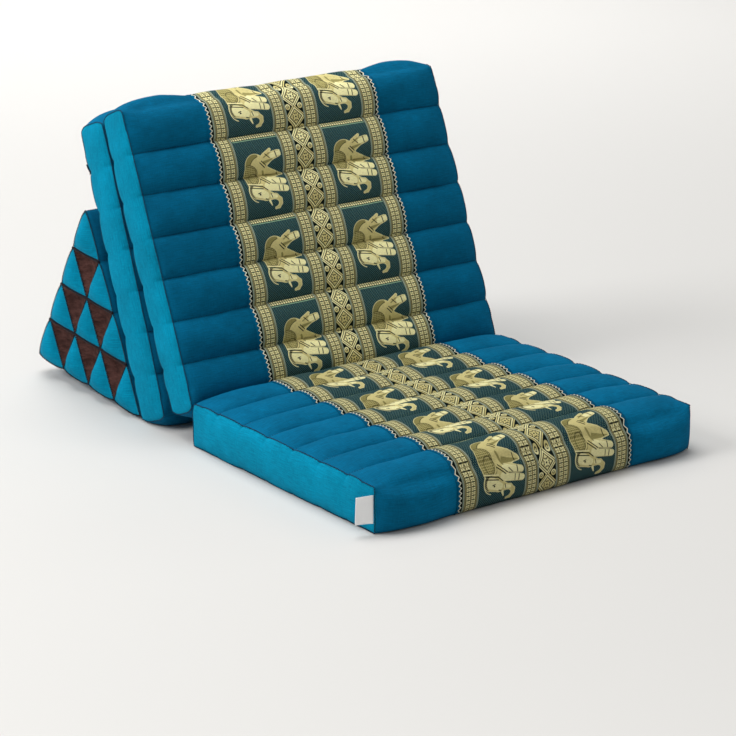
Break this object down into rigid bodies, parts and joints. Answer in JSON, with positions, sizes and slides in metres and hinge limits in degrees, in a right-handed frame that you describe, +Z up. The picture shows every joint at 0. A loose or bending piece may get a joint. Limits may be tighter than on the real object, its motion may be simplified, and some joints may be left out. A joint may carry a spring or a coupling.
{
  "type": "folding triangle floor cushion",
  "caption": "Three-fold floor cushion with a triangular bolster, set up as a low floor chair: flat seat, sloping double back and prop.",
  "frame": {"origin": "on the floor under the middle of the seat, at the centre of its underside", "axes": "X runs across the cushion, from the sitter's right to the sitter's left seen from the front; Y runs from the seat's front edge to the prop's rear edge; Z is up from the floor"},
  "size_m": [0.5676, 0.8565, 0.45],
  "materials": {
    "plain_cotton": "matte plain-woven cotton, petrol blue",
    "side_cotton": "matte plain-woven cotton, lighter petrol blue, with dark brown patches on the triangle's ends",
    "brocade": "woven gold pattern on a dark teal ground",
    "seam_tape": "folded seam allowances of the plain cotton",
    "blank_label": "plain white woven tape"
  },
  "bodies": {
    "root": {"seat_mat": "plain_cotton", "front_mat": "plain_cotton", "rear_mat": "plain_cotton", "triangle_cushion": "side_cotton", "seat_band": "brocade", "front_band": "brocade", "rear_band": "brocade", "seat_hinge": "seam_tape", "top_hinge": "seam_tape", "base_hinge": "seam_tape", "label": "blank_label"}
  },
  "joints": []
}
